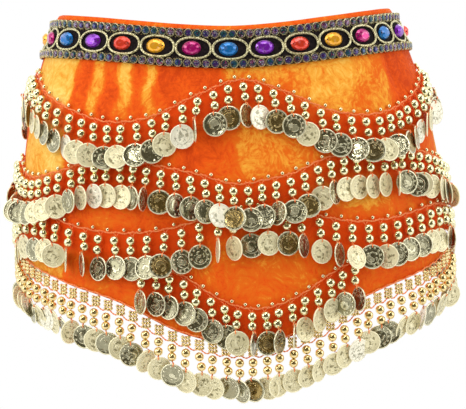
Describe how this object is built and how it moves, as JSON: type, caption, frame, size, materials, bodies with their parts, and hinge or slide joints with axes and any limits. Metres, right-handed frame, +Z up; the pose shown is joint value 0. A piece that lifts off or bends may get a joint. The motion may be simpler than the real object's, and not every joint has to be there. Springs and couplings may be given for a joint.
{
  "type": "belly dance hip scarf",
  "caption": "Hip scarf of crushed orange velvet with a V-pointed hem, a jewelled braid at the top, scalloped swags of beads and coins, a coin fringe and a tie at the back.",
  "frame": {"origin": "middle of the hips at the height of the jewelled braid, where the wearer's hips hold the scarf up", "axes": "+X to the viewer's right of the front, -Y out of the front, +Z up"},
  "size_m": [0.3452, 0.2521, 0.2863],
  "materials": {
    "velvet": "crushed velvet pile",
    "braid": "woven braid with gold cord and stones",
    "gold": "pale gold plated beads and stamped coins"
  },
  "bodies": {
    "root": {"velvet_wrap": "velvet", "tie_knot": "velvet", "jewel_trim": "braid", "swag_1": "gold", "swag_2": "gold", "swag_3": "gold", "swag_4": "gold", "hem_fringe": "gold"}
  },
  "joints": []
}
